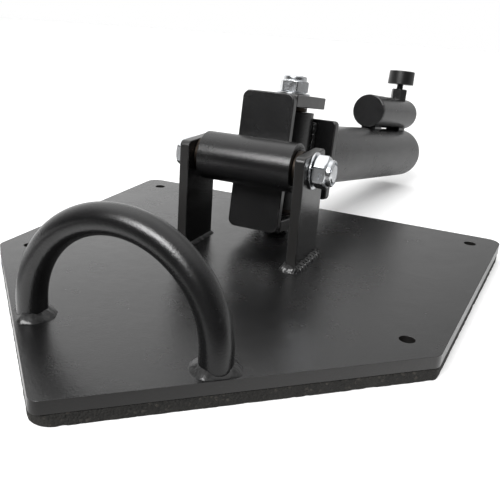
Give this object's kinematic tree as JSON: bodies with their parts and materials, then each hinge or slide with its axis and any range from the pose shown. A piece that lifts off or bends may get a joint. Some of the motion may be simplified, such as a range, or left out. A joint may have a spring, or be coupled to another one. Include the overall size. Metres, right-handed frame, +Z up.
{
  "type": "barbell pivot base plate",
  "caption": "Five-sided steel floor plate on a rubber mat, with a carrying handle and a two-axis pivot that holds a sleeve for the end of a barbell and a smaller clamped sleeve.",
  "frame": {"origin": "on the floor under the rubber mat, straight below the middle of the pivot bolt", "axes": "+Y along the plate from its point to its square back edge, towards the barbell; +X to the right along the pivot bolt; +Z up"},
  "size_m": [0.384, 0.6897, 0.1606],
  "materials": {
    "black_coat": "satin black powder coat with a fine texture",
    "rubber": "matt black granulated rubber",
    "zinc": "bright zinc plating",
    "bronze": "dull brown sintered bronze",
    "nylon": "pale nylon",
    "dark_steel": "blackened steel",
    "black_plastic": "satin black plastic"
  },
  "bodies": {
    "base": {"base_plate": "black_coat", "rubber_mat": "rubber", "left_upright": "black_coat", "right_upright": "black_coat", "left_upright_weld": "black_coat", "right_upright_weld": "black_coat", "carry_handle": "black_coat", "left_handle_weld": "black_coat", "right_handle_weld": "black_coat", "pivot_bolt": "zinc", "pivot_nut_washer": "zinc", "pivot_nut": "zinc", "pivot_nut_insert": "nylon"},
    "yoke": {"pivot_tube": "black_coat", "pivot_bush_left": "bronze", "pivot_bush_right": "bronze", "yoke_face_plate": "black_coat", "yoke_top_arm": "black_coat", "yoke_bottom_arm": "black_coat", "lower_tube_weld": "black_coat", "upper_tube_weld": "black_coat", "top_arm_weld": "black_coat", "bottom_arm_weld": "black_coat", "swivel_bolt": "zinc", "swivel_nut_washer": "zinc", "swivel_nut": "zinc", "swivel_nut_insert": "nylon"},
    "sleeve": {"swivel_tube": "black_coat", "swivel_bush_top": "bronze", "swivel_bush_bottom": "bronze", "sleeve_back_plate": "black_coat", "barbell_sleeve": "black_coat", "left_swivel_weld": "black_coat", "right_swivel_weld": "black_coat", "sleeve_foot_weld": "black_coat", "small_sleeve": "black_coat", "small_sleeve_cap": "black_coat", "near_standoff": "black_coat", "far_standoff": "black_coat", "lock_screw_boss": "black_coat"},
    "lock_screw": {"lock_screw_stem": "dark_steel"},
    "lock_knob": {"lock_screw_knob": "black_plastic"}
  },
  "joints": [
    {"name": "yoke_pitch", "type": "hinge", "parent": "base", "child": "yoke", "pos_m": [0, 0, 0.0965], "axis": [1, 0, 0], "range_deg": [0, 150]},
    {"name": "sleeve_swivel", "type": "hinge", "parent": "yoke", "child": "sleeve", "pos_m": [0, 0.08019, 0.08506], "axis": [0, 0.1412, 0.99], "range_deg": [-98.6, 111.4]},
    {"name": "lock_screw_travel", "type": "slide", "parent": "sleeve", "child": "lock_screw", "axis": [0, 0.1412, 0.99], "range_m": [-0.005, 0.0075]},
    {"name": "lock_knob_turn", "type": "hinge", "parent": "lock_screw", "child": "lock_knob", "pos_m": [0.0336, 0.38659, 0.11206], "axis": [0, 0.1412, 0.99], "range_deg": [-1440, 2160]}
  ],
  "couplings": [
    {"joint": "lock_screw_travel", "follows": "lock_knob_turn", "m_per_rad": 0.00019894}
  ]
}
